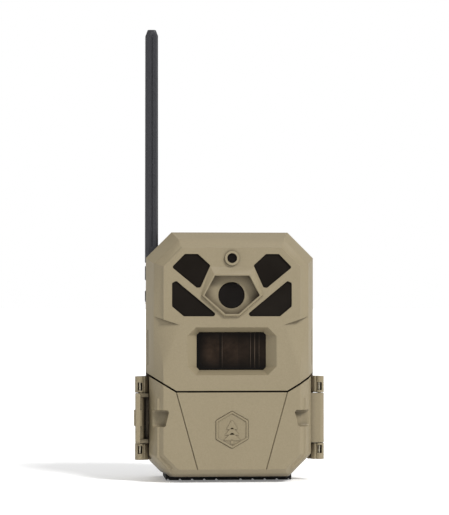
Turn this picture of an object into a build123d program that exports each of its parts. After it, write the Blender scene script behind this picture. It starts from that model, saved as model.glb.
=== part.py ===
"""Cellular trail camera: a tan weatherproof case with a side-hinged battery door and a side latch,
four infrared windows round a lens, a motion sensor window, a folding whip antenna and a tree bracket.

Frame: millimetres, +Z up, the camera looks along -Y, +X to the right of someone facing its front.
The origin is the mouth of the tripod socket in the underside, level with the foot it stands on.
"""

from build123d import *
from math import sqrt
import os

# ---------------------------------------------------------------- case, seen from the front
case_half_width = 55.0  # at the parting plane, its widest
case_top = 162.8
case_low = 3.0  # underside of the case; the rubber foot makes up the rest
top_corner = 16.8  # 45 degree corners
low_corner = 15.7
rim_inset = 4.6  # how far the case draws in from the parting plane to the rim
bevel_width = 5.2  # the bevel between the rim and the raised face
face_step = 0.8  # small step at the edge of the face
wall = 2.6
skin = 1.6  # thinner walls inside the door

# ---------------------------------------------------------------- case, front to back
face_y = -36.0
step_y = -34.5
rim_y = -30.0
parting_y = -16.0  # front pieces meet the rear housing
back_y = 30.0
back_inset = 4.5

# ---------------------------------------------------------------- gaps
play = 0.35  # between parts that move past each other
fit_gap = 0.1  # between parts that are put together and stay
pin_clearance = 0.06  # running fit round the steel pins
seam_gap = 1.1  # between the front housing and the battery door
flank_gap = 0.45  # between the door's flank and the lugs beside it

# ---------------------------------------------------------------- seam, facets and grooves
seam_z = 59.2
seam_bend_x = 36.2
seam_slope = 0.607
facet_top = (33.7, 102.3)  # where each cheek facet starts on the face
facet_low = (45.0, 67.8)
facet_crest = 8.0  # the facet's upper edge climbs this much on its way out
facet_slope = 0.34
groove_width = 0.6
groove_depth = 0.6
groove_low_x = 20.7

# ---------------------------------------------------------------- lens, sensors and windows
lens_z = 121.6
lens_window_radius = 8.6
hood_height = 2.0
hood_floor_y = -31.6
hood_rim = 0.9
hood_outline = ((11.2, 134.3), (18.0, 121.5), (4.4, 109.4))  # right half of the recess
hood_foot = ((14.0, 140.0), (20.2, 121.7), (5.4, 107.6))  # right half of the hood's foot
light_sensor_z = 145.6
light_sensor_radius = 3.2
light_boss_radius = 4.7
light_boss_height = 1.5
upper_window = ((30.6, 148.3), (22.1, 148.3), (14.0, 140.9), (20.4, 126.6), (22.9, 126.4), (39.0, 139.7))
lower_window = ((38.9, 129.6), (36.1, 130.9), (10.5, 109.6), (11.9, 107.9), (31.3, 107.9), (38.9, 114.3))
window_corner = 1.2
window_sink = 1.1  # the infrared windows sit this far below the face
window_flange = 1.0
window_flange_thickness = 1.0
motion_z = 85.3
motion_width = 45.2
motion_height = 24.6
motion_corner = 1.8
motion_depth = 6.2
motion_bevel = 6.4
motion_frame_corner = 5.6
pane_sink = 0.4  # the lens and motion windows sit this far below their seats

# ---------------------------------------------------------------- door pivot and latch
pivot_reach = 3.9  # the two pivots stand this far outside the case
pivot_x = case_half_width + pivot_reach
pivot_y = -17.5
knuckle_radius = 3.1
pin_radius = 1.1
lug_low, lug_top = 14.2, 68.6
lug_height = 10.6
lug_slot_width = 2.8
lug_slot_height = 5.2
lug_slot_inset = 1.4
lug_root = 2.0  # the lugs grow out of the case's side this deep
lug_tail = 12.4
pin_end_wall = 1.0
web_y = (-13.8, -9.0)  # web behind the latch lever, joining its two lugs
side_slot_y = -19.7  # narrow slots in the cheeks of the front housing
side_slot_z = 87.5
side_slot_height = 23.0
side_slot_width = 1.1
side_slot_depth = 0.9
door_inset = 2.0
door_half_width = case_half_width - door_inset
scoop_z = 41.8
scoop_height = 10.7
scoop_x = 40.6
scoop_slant = 2.5
scoop_floor_y = -28.0
scoop_corner = 1.5
scoop_sweep = 6.0  # radius between the scoop's inner wall and its floor
lever_reach = 9.6  # the latch lever stands this far in front of its pin
lever_thickness = 3.0
grip_height = 10.4
grip_bulge = 0.9
hook_height = 2.6
hook_thickness = 2.4
badge_z = 34.5
badge_radius = 12.0
badge_thickness = 1.2
badge_border = 1.4

# ---------------------------------------------------------------- battery bay
bay_half_width = 46.4
bay_low, bay_high = 11.0, 53.0
bay_corner = 6.8
collar_wall = 2.0
collar_y = -21.0
gasket_thickness = 2.0
cell_radius = 7.1
cell_length = 50.0
nub_radius = 2.75
nub_height = 1.0
cell_pitch = 15.0
cell_columns, cell_rows = 6, 2
well_clearance = 0.2
low_row_z = 19.3
cell_front_y = -26.0
spring_height = 2.2
spring_radii = (2.2, 3.8)  # inside of each cone ring, narrow end and wide end
spring_wire = 0.8
contact_thickness = 0.5
contact_gap = 0.3
contact_half = 3.2
contact_margin = 0.6
board_thickness = 1.6

# ---------------------------------------------------------------- controls above the cells
strip_low, strip_high = 42.8, 52.6
panel_y = -24.0
panel_thickness = 2.0
control_z = 47.7
control_board_thickness = 1.2
control_board_y = (-18.4, 20.0)
power_button_x, setup_button_x = 24.0, 37.0
button_radius = 3.0
button_travel = 0.5
button_proud = 1.2
button_flange = 0.8
button_stem_radius = 1.2
switch_depth = 4.0  # from the back of the panel to the switches
switch_size = (6.0, 3.5, 6.0)  # width, length, height
status_light_x = (9.0, 12.6, 16.2)
status_light_radius = 1.2
card_x, card_width, card_length, card_thickness = -26.4, 24.0, 32.0, 2.1
sim_x, sim_width, sim_length, sim_thickness = -3.0, 12.0, 15.0, 0.8
socket_floor = 0.7
socket_gap = 0.15
socket_wall = 2.0
socket_setback = 2.4
card_proud = 1.0
sim_proud = 0.6
card_corner = 2.5

# ---------------------------------------------------------------- antenna
antenna_x, antenna_y = -50.4, 2.0
antenna_tip_z = 297.5
antenna_half_width, antenna_half_depth = 4.3, 4.0
tip_scale = 0.97
antenna_pivot_z = 137.0
ear_radius = 4.7
ear_thickness = 2.0
blade_start = 6.2  # the blade begins this far above the fold pivot
notch_x = -42.5  # the case's top left corner is cut back for the antenna
notch_y = -7.0
shelf_z = 116.0
collar_radius = 4.2
thread_radius = 3.1
socket_flange = 1.0
nut_rise = 1.0  # from the shoulder to the nut
nut_height = 8.0
nut_chamfer = 0.6
neck_step = 0.5
eye_gap = 0.3
blade_chamfer = (1.4, 2.2)  # across the width and across the depth
tip_length = 4.0
tip_end_scale = 0.62
blade_groove_half = 0.35
blade_groove_start = 10.0

# ---------------------------------------------------------------- foot, sockets and tree bracket
foot_half_width = 41.5
foot_top = 8.5
foot_front_y, foot_back_y = -9.0, 28.0
tripod_radius = 2.55  # bored and tapped 1/4-20
tripod_length = 8.0
insert_radius = 4.6
insert_floor = 0.9
back_socket_z = 96.0
plate_half_width = 31.0
plate_low, plate_high = 36.0, 124.0
plate_thickness = 3.5
rail_depth = 13.0
rail_thickness = 6.0
strap_width = 26.0
strap_gap = 5.0
tooth_pitch = 8.0
tooth_depth = 3.0
plate_corner = 6.0
rail_margin = 2.0
rail_end_margin = 8.0
foot_round = 0.8

# ---------------------------------------------------------------- fasteners and boards
screw_radius = 1.5
screw_head_radius = 2.8
screw_head_height = 1.8
plate_screw_length = 8.0
case_screws = ((-20.0, 154.0), (20.0, 154.0), (-47.0, 73.0), (47.0, 73.0))
case_screw_y = (-26.0, -4.0)  # tip and underside of the head
plate_screw_x, plate_screw_z = 20.0, (60.6, 114.0)
main_board_y = 4.0
main_board = (-36.0, 41.0, 66.0, 148.0)  # left, right, low, high
board_edge = 4.0  # screws sit this far in from the board's edges
board_screw_length = 8.0
module = (4.0, 34.0, 76.0, 106.0)  # left, right, low, high
module_height = 2.6
ir_board_y = -27.0
ir_board = (-39.5, 39.5, 108.5, 148.5)  # left, right, low, high
ir_board_corner = 9.0
led_radius = 2.5
led_height = 4.2
led_places = (  # right half, x and z
    (24.0, 142.5),
    (31.5, 140.5),
    (21.5, 134.5),
    (28.5, 133.0),
    (24.5, 116.0),
    (31.5, 121.5),
    (32.5, 113.5),
    (17.5, 112.0),
)
lens_barrel_radius = 6.2
lens_rim = 1.2
lens_barrel_back_y = -16.0
lens_holder_y = (-20.0, -12.0, -6.0)  # front of its collar, front and back of its base
lens_holder_half_width = 16.0
lens_holder_half_height = 10.0
filter_y = (-10.0, -7.4)  # slot for the infrared filter
filter_slot_half = (14.0, 6.0)  # half width, half height
filter_width = 20.0
filter_gap = 0.6
image_board_half = (18.0, 14.0)  # half width, half height
light_can_radius = 2.4
light_can_height = 3.0
motion_sensor_radius = 4.6
motion_sensor_height = 5.0
motion_sensor_flange = 0.8
motion_board_half = (14.0, 9.0)  # half width, half height
jack_z = 87.0
jack_y = 6.0
cover_height = 23.0
cover_width = 9.0
jack_radius = 3.9
plug_radius = 2.75  # 5.5 mm power plug
jack_length = 11.0
jack_end_wall = 1.5
jack_pin_radius = 1.0
cover_proud = 0.6
cover_bed = 2.0  # the recess is cut from this far outside the case

case_outline = (case_half_width, case_low, case_top, low_corner, top_corner)
rim_outline = (case_half_width - rim_inset, 3.8, 158.0, 13.8, 15.9)
bevel_outline = (rim_outline[0] - bevel_width, 8.0, 153.1, 10.2, 12.5)
back_outline = (case_half_width - back_inset, 3.0, 159.5, 7.5, 15.0)
inside_y = face_y + wall  # back of the front wall
floor_y = back_y - wall  # front of the back wall


# ---------------------------------------------------------------- shared geometry
def front_plane(y):
    """A sketch plane at depth y, facing the viewer: sketch x is X and sketch y is Z."""
    return Plane.XZ.offset(-y)


def octagon(outline):
    """Corners of a tall rectangle with 45 degree corners."""
    half_width, low, high, low_cut, high_cut = outline
    right = [
        (half_width - low_cut, low),
        (half_width, low + low_cut),
        (half_width, high - high_cut),
        (half_width - high_cut, high),
    ]
    return right + [(-x, z) for x, z in reversed(right)]


def inset(outline, distance):
    """The same outline moved inwards all round."""
    half_width, low, high, low_cut, high_cut = outline
    shorter = distance * (2 - sqrt(2))
    return (half_width - distance, low + distance, high - distance, low_cut - shorter, high_cut - shorter)


def both_sides(points):
    """A symmetric outline from the points of its right half, top to bottom."""
    return list(points) + [(-x, z) for x, z in reversed(points)]


def flipped(points, side):
    return [(side * x, z) for x, z in points]


def seam_region(offset, above):
    """Everything above or below the seam, its edge moved by offset along Z's normal."""
    reach, far = 2 * case_half_width, 2 * case_top
    rise = offset * sqrt(1 + seam_slope**2)
    bend_x = seam_bend_x + (offset - rise) / seam_slope
    end_z = seam_z + rise + seam_slope * (reach - seam_bend_x)
    edge = [(reach, end_z), (bend_x, seam_z + offset), (-bend_x, seam_z + offset), (-reach, end_z)]
    limit = far if above else -far
    return edge + [(-reach, limit), (reach, limit)]


def prism(points, y, mode=Mode.ADD, corner=0.0):
    """A straight prism of a front outline between two depths."""
    with BuildSketch(front_plane(y[1])) as outline:
        Polygon(*points, align=None)
        if corner:
            fillet(outline.vertices(), corner)
    extrude(outline.sketch, amount=y[1] - y[0], mode=mode)


def block(x, y, z, mode=Mode.ADD):
    """A box between (low, high) pairs along each axis."""
    with Locations(((x[0] + x[1]) / 2, (y[0] + y[1]) / 2, (z[0] + z[1]) / 2)):
        Box(x[1] - x[0], y[1] - y[0], z[1] - z[0], mode=mode)


def rod_y(places, radius, y, mode=Mode.ADD):
    """Round bars along Y at each (x, z) place."""
    with BuildSketch(front_plane(y[1])) as ends:
        with Locations(*places):
            Circle(radius)
    extrude(ends.sketch, amount=y[1] - y[0], mode=mode)


def rod_z(x, y, radius, z, mode=Mode.ADD):
    """A round bar along Z."""
    with BuildSketch(Plane.XY.offset(z[0])) as end:
        with Locations((x, y)):
            Circle(radius)
    extrude(end.sketch, amount=z[1] - z[0], mode=mode)


def rod_x(y, z, radius, x, mode=Mode.ADD):
    """A round bar along X."""
    with BuildSketch(Plane.YZ.offset(x[0])) as end:
        with Locations((y, z)):
            Circle(radius)
    extrude(end.sketch, amount=x[1] - x[0], mode=mode)


def ruled_form(sections, mode=Mode.ADD):
    """A loft with flat sides through octagonal outlines, each given with its depth."""
    profiles = []
    for y, outline in sections:
        with BuildSketch(front_plane(y)) as profile:
            Polygon(*octagon(outline), align=None)
        profiles.append(profile.sketch)
    loft(profiles, ruled=True, mode=mode)


def save(part, name):
    part.label = name
    export_step(part, f"parts/{name}.step")


os.makedirs("parts", exist_ok=True)
all_y = (2 * face_y, 2 * back_y)
all_x = (-2 * case_half_width, 2 * case_half_width)

# ---------------------------------------------------------------- cheek facets, cut from the face
facet_line = Vector(facet_low[0] - facet_top[0], 0, facet_low[1] - facet_top[1]).normalized()
facet_fall = Vector(-facet_line.Z, facet_slope, facet_line.X).normalized()
facet_normal = facet_line.cross(facet_fall)
facet_far_x = case_half_width + wall
facet_profile = [
    facet_top,
    facet_low,
    (facet_far_x, facet_low[1]),
    (facet_far_x, facet_top[1] + facet_crest),
]


def grown(points, distance):
    """A flat outline with every edge moved outwards."""
    with BuildSketch() as area:
        Polygon(*points, align=None)
        if distance:
            offset(amount=distance, kind=Kind.INTERSECTION)
    return area.sketch


def prism_of(flat, y, mode=Mode.ADD):
    """A straight prism of a flat sketch between two depths."""
    extrude(front_plane(y[1]) * flat, amount=y[1] - y[0], mode=mode)


def facet_wedge(depth):
    """The material above the right cheek facet, grown on every side by depth."""
    start = (facet_top[0], face_y + depth, facet_top[1])
    with BuildPart() as wedge:
        prism_of(grown(facet_profile, depth), all_y)
        split(bisect_by=Plane(origin=start, x_dir=facet_line, z_dir=facet_normal), keep=Keep.TOP)
    return wedge.part


def cut_facets(depth):
    right = facet_wedge(depth)
    add([right, right.mirror(Plane.YZ)], mode=Mode.SUBTRACT)


# ---------------------------------------------------------------- front housing
hood_front_y = face_y - hood_height
hood_recess = both_sides(hood_outline)
motion_low, motion_high = motion_z - motion_height / 2, motion_z + motion_height / 2
motion_pane = [
    (motion_width / 2, motion_low),
    (motion_width / 2, motion_high),
    (-motion_width / 2, motion_high),
    (-motion_width / 2, motion_low),
]
motion_frame = (
    motion_width / 2 + motion_bevel,
    motion_low - motion_bevel / 2,
    motion_high + motion_bevel / 2,
    motion_frame_corner,
    motion_frame_corner,
)
motion_throat = (motion_width / 2, motion_low, motion_high, motion_corner, motion_corner)
motion_y = face_y + motion_depth
windows = {
    "upper_right_ir_window": flipped(upper_window, 1),
    "upper_left_ir_window": flipped(upper_window, -1),
    "lower_right_ir_window": flipped(lower_window, 1),
    "lower_left_ir_window": flipped(lower_window, -1),
}
front_sections = (
    (parting_y, case_outline),
    (rim_y, rim_outline),
    (step_y, bevel_outline),
    (face_y, inset(bevel_outline, face_step)),
)
front_cavity_sections = (
    (parting_y, inset(case_outline, wall)),
    (rim_y, inset(rim_outline, wall)),
    (inside_y, inset(bevel_outline, wall / 2)),
)

with BuildPart() as front_cavity:
    ruled_form(front_cavity_sections)
    prism(seam_region(seam_gap / 2 + wall, above=True), all_y, mode=Mode.INTERSECT)
    cut_facets(wall)
    rod_y(case_screws, screw_head_radius + fit_gap, (case_screw_y[0] - wall, parting_y), mode=Mode.SUBTRACT)

with BuildPart() as front_housing:
    ruled_form(front_sections)
    prism(seam_region(seam_gap / 2, above=True), all_y, mode=Mode.INTERSECT)
    cut_facets(0)
    add(front_cavity.part, mode=Mode.SUBTRACT)
    # hood and cup round the lens
    hood_sections = []
    for y, flat in (
        (face_y + skin, grown(both_sides(hood_foot), 0)),
        (face_y, grown(both_sides(hood_foot), 0)),
        (hood_front_y, grown(hood_recess, hood_rim)),
    ):
        hood_sections.append(front_plane(y) * flat)
    loft(hood_sections, ruled=True)
    prism_of(grown(hood_recess, wall), (face_y, hood_floor_y + wall))
    prism(hood_recess, (hood_front_y - wall, hood_floor_y), mode=Mode.SUBTRACT)
    rod_y([(0, lens_z)], lens_window_radius, (hood_floor_y, hood_floor_y + wall), mode=Mode.SUBTRACT)
    # light sensor boss
    rod_y([(0, light_sensor_z)], light_boss_radius, (face_y - light_boss_height, face_y))
    boss_through = (face_y - light_boss_height, inside_y)
    rod_y([(0, light_sensor_z)], light_sensor_radius, boss_through, mode=Mode.SUBTRACT)
    # motion sensor window in its bevelled frame
    ruled_form(
        ((motion_y + wall, inset(motion_frame, 0)), (inside_y - skin, inset(motion_frame, 0))),
    )
    ruled_form(((face_y, motion_frame), (motion_y, motion_throat)), mode=Mode.SUBTRACT)
    prism(motion_pane, (motion_y, motion_y + wall), mode=Mode.SUBTRACT, corner=motion_corner)
    for outline in windows.values():
        prism(outline, (face_y - wall, inside_y), mode=Mode.SUBTRACT, corner=window_corner)
    slot_fraction = (parting_y - side_slot_y) / (parting_y - rim_y)
    slot_x = case_half_width - rim_inset * slot_fraction - side_slot_depth
    slot_y = (side_slot_y - side_slot_width / 2, side_slot_y + side_slot_width / 2)
    slot_z_range = (side_slot_z - side_slot_height / 2, side_slot_z + side_slot_height / 2)
    block((slot_x, case_half_width), slot_y, slot_z_range, mode=Mode.SUBTRACT)
    block((-case_half_width, -slot_x), slot_y, slot_z_range, mode=Mode.SUBTRACT)
    rod_y(case_screws, screw_radius, (case_screw_y[0], parting_y), mode=Mode.SUBTRACT)
save(front_housing.part, "front_housing")

# ---------------------------------------------------------------- infrared windows
for name, outline in windows.items():
    with BuildPart() as window:
        with BuildSketch(front_plane(inside_y)) as pane:
            Polygon(*outline, align=None)
            fillet(pane.vertices(), window_corner)
            offset(amount=-fit_gap)
        extrude(amount=wall - window_sink)
        with BuildSketch(front_plane(inside_y + window_flange_thickness)):
            Polygon(*outline, align=None)
            offset(amount=window_flange)
        extrude(amount=window_flange_thickness)
    save(window.part, name)

# ---------------------------------------------------------------- lens, motion and light windows
lens_axis = [(0, lens_z)]
cup_back_y = hood_floor_y + wall
with BuildPart() as lens_window:
    rod_y(lens_axis, lens_window_radius - fit_gap, (hood_floor_y + pane_sink, cup_back_y))
    cup_flange_y = (cup_back_y, cup_back_y + window_flange_thickness)
    rod_y(lens_axis, lens_window_radius + window_flange, cup_flange_y)
    chamfer(lens_window.edges().group_by(Axis.Y)[0], pane_sink)
save(lens_window.part, "lens_window")

with BuildPart() as motion_window:
    with BuildSketch(front_plane(motion_y + wall)) as pane:
        Polygon(*motion_pane, align=None)
        fillet(pane.vertices(), motion_corner)
        offset(amount=-fit_gap)
    extrude(amount=wall - pane_sink)
    with BuildSketch(front_plane(motion_y + wall + window_flange_thickness)):
        Polygon(*motion_pane, align=None)
        offset(amount=window_flange)
    extrude(amount=window_flange_thickness)
save(motion_window.part, "motion_window")

with BuildPart() as light_window:
    light_axis = [(0, light_sensor_z)]
    rod_y(light_axis, light_sensor_radius - fit_gap, (face_y, inside_y))
    light_flange_y = (inside_y, inside_y + window_flange_thickness)
    rod_y(light_axis, light_sensor_radius + window_flange, light_flange_y)
save(light_window.part, "light_sensor_window")

# ---------------------------------------------------------------- rear housing
bay = [
    (bay_half_width - bay_corner, bay_low),
    (bay_half_width, bay_low + bay_corner),
    (bay_half_width, bay_high),
    (-bay_half_width, bay_high),
    (-bay_half_width, bay_low + bay_corner),
    (-bay_half_width + bay_corner, bay_low),
]
electronics_low = bay_high + collar_wall + wall
lug_centres = (lug_low + lug_height / 2, lug_top - lug_height / 2)
case_screw_head_y = (case_screw_y[1], back_y)
insert_top = tripod_length + insert_floor
back_insert_y = back_y - insert_top
board_posts = (
    (main_board[0] + board_edge, main_board[2] + board_edge),
    (main_board[1] - board_edge, main_board[2] + board_edge),
    (main_board[0] + board_edge, main_board[3] - board_edge),
    (main_board[1] - board_edge, main_board[3] - board_edge),
)
plate_screws = [(x, z) for x in (-plate_screw_x, plate_screw_x) for z in plate_screw_z]


def lug_plan(side):
    """Plan of the lugs that hold a pivot pin: round at the pin and carried back to the case's side."""
    with BuildSketch() as plan:
        with Locations((side * pivot_x, pivot_y)):
            Circle(knuckle_radius)
        inner_x = door_half_width + flank_gap
        outline = [
            (inner_x, pivot_y - knuckle_radius / 3),
            (pivot_x - knuckle_radius, pivot_y - knuckle_radius * 0.8),
            (pivot_x, pivot_y),
            (pivot_x + knuckle_radius, pivot_y),
            (pivot_x + knuckle_radius, pivot_y + knuckle_radius),
            (inner_x, parting_y + lug_tail),
            (inner_x - lug_root, parting_y + lug_tail),
            (inner_x - lug_root, parting_y),
            (inner_x, parting_y),
        ]
        Polygon(*[(side * x, y) for x, y in outline], align=None)
    return plan.sketch


with BuildPart() as rear_cavity:
    ruled_form(((parting_y, inset(case_outline, wall)), (floor_y, inset(back_outline, wall))))
    block(all_x, all_y, (electronics_low, case_top), mode=Mode.INTERSECT)
    block(
        (all_x[0], notch_x + wall),
        (notch_y - wall, back_y),
        (shelf_z - wall, 2 * case_top),
        mode=Mode.SUBTRACT,
    )
    rod_y(case_screws, screw_head_radius + skin, (parting_y, back_y), mode=Mode.SUBTRACT)
    rod_y([(0, back_socket_z)], insert_radius + wall, (back_insert_y - skin, back_y), mode=Mode.SUBTRACT)
    rod_y(board_posts, screw_radius + skin, (main_board_y + board_thickness, back_y), mode=Mode.SUBTRACT)
    rod_y(plate_screws, screw_radius + skin, (floor_y - plate_screw_length, back_y), mode=Mode.SUBTRACT)

with BuildPart() as rear_housing:
    ruled_form(((parting_y, case_outline), (back_y, back_outline)))
    add(rear_cavity.part, mode=Mode.SUBTRACT)
    prism_of(grown(bay, collar_wall), (collar_y, parting_y))
    prism(bay, (collar_y, floor_y), mode=Mode.SUBTRACT)
    block((all_x[0], notch_x), (notch_y, 2 * back_y), (shelf_z, 2 * case_top), mode=Mode.SUBTRACT)
    # lugs with a window onto the pin, on both sides
    for side in (-1, 1):
        for centre in lug_centres:
            inner = centre - lug_height / 2
            plan = Plane.XY.offset(inner) * lug_plan(side)
            extrude(plan, amount=lug_height)
            toward_middle = 1 if centre < seam_z / 2 else -1
            slot_centre = centre + toward_middle * (lug_height / 2 - lug_slot_inset - lug_slot_height / 2)
            slot_z = (slot_centre - lug_slot_height / 2, slot_centre + lug_slot_height / 2)
            slot_x = (side * pivot_x - lug_slot_width / 2, side * pivot_x + lug_slot_width / 2)
            slot_y = (pivot_y - 2 * knuckle_radius, pivot_y + pin_radius + play)
            block(slot_x, slot_y, slot_z, mode=Mode.SUBTRACT)
        rod_z(side * pivot_x, pivot_y, pin_radius, (lug_low + pin_end_wall, lug_top), mode=Mode.SUBTRACT)
    latch_web_x = (-pivot_x, -door_half_width - flank_gap + lug_root)
    block(latch_web_x, web_y, (lug_low + lug_height, lug_top - lug_height))
    # screw holes, sockets and ports
    rod_y(case_screws, screw_radius, (parting_y, back_y), mode=Mode.SUBTRACT)
    rod_y(case_screws, screw_head_radius + fit_gap, case_screw_head_y, mode=Mode.SUBTRACT)
    rod_y(board_posts, screw_radius, (main_board_y, floor_y), mode=Mode.SUBTRACT)
    rod_y(plate_screws, screw_radius, (back_y - plate_screw_length, back_y), mode=Mode.SUBTRACT)
    rod_y([(0, back_socket_z)], insert_radius, (back_insert_y, back_y), mode=Mode.SUBTRACT)
    rod_z(0, 0, insert_radius, (0, insert_top), mode=Mode.SUBTRACT)
    rod_z(antenna_x, antenna_y, thread_radius, (shelf_z - 2 * wall, shelf_z), mode=Mode.SUBTRACT)
    jack_recess_y = (jack_y - cover_width / 2, jack_y + cover_width / 2)
    jack_recess_z = (jack_z - cover_height / 2, jack_z + cover_height / 2)
    jack_wall_x = -case_half_width + back_inset * (jack_y - parting_y) / (back_y - parting_y)
    block((jack_wall_x - cover_bed, jack_wall_x + skin), jack_recess_y, jack_recess_z, mode=Mode.SUBTRACT)
    rod_x(jack_y, jack_z, jack_radius, (jack_wall_x, jack_wall_x + 2 * wall), mode=Mode.SUBTRACT)
save(rear_housing.part, "rear_housing")

# ---------------------------------------------------------------- battery door
door_back_y = parting_y - play
door_y = (2 * face_y, door_back_y)
door_sections = (
    (parting_y, case_outline),
    (rim_y, rim_outline),
    (face_y, inset(bevel_outline, face_step)),
)
door_cavity_sections = (
    (parting_y, inset(case_outline, skin)),
    (rim_y, inset(rim_outline, skin)),
    (inside_y, inset(bevel_outline, skin)),
)
rib_y = collar_y - gasket_thickness
barrel_low, barrel_top = lug_low + lug_height + play, lug_top - lug_height - play
scoop = [
    (scoop_x, scoop_z + scoop_height / 2),
    (scoop_x + scoop_slant, scoop_z - scoop_height / 2),
    (case_half_width + wall, scoop_z - scoop_height / 2),
    (case_half_width + wall, scoop_z + scoop_height / 2),
]
groove_top = (seam_bend_x, seam_z)
groove_end = (groove_low_x, case_low)


def scoop_cut(side):
    """The finger scoop: its inner wall sweeps round into the floor, which runs out through the flank."""
    with BuildPart() as cut:
        prism(flipped(scoop, side), (2 * face_y, scoop_floor_y))
        inner_edges = cut.edges().group_by(Axis.Y)[-1]
        fillet(inner_edges.filter_by(lambda edge: abs(edge.center().X) < scoop_x + scoop_slant), scoop_sweep)
        corners = cut.edges().filter_by(Axis.Y)
        fillet(corners.filter_by(lambda edge: abs(edge.center().X) < scoop_x + 2 * scoop_slant), scoop_corner)
    return cut.part


with BuildPart() as scoop_linings:
    for side in (-1, 1):
        prism_of(grown(flipped(scoop, side), skin), (2 * face_y, scoop_floor_y + skin))

with BuildPart() as door_bay:
    prism(bay, (inside_y, rib_y))
    add(scoop_linings.part, mode=Mode.SUBTRACT)

with BuildPart() as door_cavity:
    ruled_form(door_cavity_sections)
    prism(seam_region(-seam_gap / 2 - skin, above=False), all_y, mode=Mode.INTERSECT)
    door_inside = door_half_width - skin
    block((-door_inside, door_inside), all_y, (0, case_top), mode=Mode.INTERSECT)
    add(scoop_linings.part, mode=Mode.SUBTRACT)

with BuildPart() as battery_door:
    ruled_form(door_sections)
    prism(seam_region(-seam_gap / 2, above=False), all_y, mode=Mode.INTERSECT)
    block((-door_half_width, door_half_width), door_y, (0, case_top), mode=Mode.INTERSECT)
    add(door_cavity.part, mode=Mode.SUBTRACT)
    # rib that presses on the gasket
    prism_of(grown(bay, collar_wall), (inside_y, rib_y))
    add(door_bay.part, mode=Mode.SUBTRACT)
    for side in (-1, 1):
        add(scoop_cut(side), mode=Mode.SUBTRACT)
        with BuildSketch(front_plane(face_y + groove_depth)) as groove:
            with BuildLine():
                Line((side * groove_top[0], groove_top[1]), (side * groove_end[0], groove_end[1]))
            trace(line_width=groove_width)
        extrude(groove.sketch, amount=2 * groove_depth, mode=Mode.SUBTRACT)
    # hinge leaf and barrel on the right
    barrel_z = (barrel_low, barrel_top)
    block((door_half_width - skin, pivot_x), (pivot_y - knuckle_radius, door_back_y), barrel_z)
    rod_z(pivot_x, pivot_y, knuckle_radius, barrel_z)
    rod_z(pivot_x, pivot_y, pin_radius + pin_clearance, barrel_z, mode=Mode.SUBTRACT)
    # seat for the badge
    with BuildSketch(front_plane(face_y + badge_thickness / 2)) as seat:
        with Locations((0, badge_z)):
            RegularPolygon(badge_radius + fit_gap, 6, rotation=30)
    extrude(seat.sketch, amount=badge_thickness, mode=Mode.SUBTRACT)
save(battery_door.part, "battery_door")

with BuildPart() as badge:
    with BuildSketch(front_plane(face_y + badge_thickness / 2)):
        with Locations((0, badge_z)):
            RegularPolygon(badge_radius, 6, rotation=30)
            RegularPolygon(badge_radius - badge_border, 6, rotation=30, mode=Mode.SUBTRACT)
    extrude(amount=badge_thickness)
    with BuildSketch(front_plane(face_y + badge_thickness / 2)):
        with Locations((0, badge_z)):
            RegularPolygon(badge_radius - badge_border, 6, rotation=30)
    extrude(amount=badge_thickness / 2)
save(badge.part, "door_badge")

with BuildPart() as door_gasket:
    prism_of(grown(bay, collar_wall), (rib_y, collar_y))
    prism(bay, (rib_y, collar_y), mode=Mode.SUBTRACT)
save(door_gasket.part, "door_gasket")

# ---------------------------------------------------------------- hinge pin and latch
for name, side in (("hinge_pin", 1), ("latch_pin", -1)):
    with BuildPart() as pin:
        rod_z(side * pivot_x, pivot_y, pin_radius, (lug_low + pin_end_wall, lug_top))
        chamfer(pin.edges().filter_by(GeomType.CIRCLE), pin_radius / 4)
    save(pin.part, name)

lever_front_y = pivot_y - lever_reach
lever_outer_x = -pivot_x - knuckle_radius
hook_y = (pivot_y - knuckle_radius, pivot_y - knuckle_radius + hook_thickness)
hook_reach = -door_half_width - play
with BuildPart() as latch_lever:
    rod_z(-pivot_x, pivot_y, knuckle_radius, barrel_z)
    block((lever_outer_x, lever_outer_x + lever_thickness), (lever_front_y, pivot_y), barrel_z)
    chamfer(latch_lever.edges().filter_by(Axis.X).group_by(Axis.Y)[0], lever_thickness / 2)
    # finger grip: a bulge opposite the scoop
    with BuildSketch(Plane.XY.offset(scoop_z - grip_height / 2)):
        with Locations((lever_outer_x + lever_thickness / 2, lever_front_y + lever_reach / 2)):
            RectangleRounded(lever_thickness + 2 * grip_bulge, lever_reach - grip_bulge, lever_thickness / 3)
    extrude(amount=grip_height)
    for low in (barrel_z[0], barrel_z[1] - hook_height):
        block((-pivot_x, hook_reach), hook_y, (low, low + hook_height))
    rod_z(-pivot_x, pivot_y, pin_radius + pin_clearance, barrel_z, mode=Mode.SUBTRACT)
save(latch_lever.part, "latch_lever")

# ---------------------------------------------------------------- cells, their holder and contacts
column_x = [(i - (cell_columns - 1) / 2) * cell_pitch for i in range(cell_columns)]
row_z = [low_row_z + j * cell_pitch for j in range(cell_rows)]
cell_back_y = cell_front_y + cell_length
well_radius = cell_radius + well_clearance
holder_low = bay_low + fit_gap
holder_high = row_z[-1] + well_radius + skin / 2
holder_y = (collar_y + play, cell_back_y)
facing_front = [(x, z) for i, x in enumerate(column_x) for z in row_z if i % 2 == 0]
facing_back = [(x, z) for i, x in enumerate(column_x) for z in row_z if i % 2 == 1]
all_cells = facing_front + facing_back

with BuildPart() as battery_holder:
    prism_of(grown(bay, -2 * fit_gap), holder_y)
    block((-bay_half_width, bay_half_width), holder_y, (holder_low, holder_high), mode=Mode.INTERSECT)
    rod_y(all_cells, well_radius, holder_y, mode=Mode.SUBTRACT)
save(battery_holder.part, "battery_holder")

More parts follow.
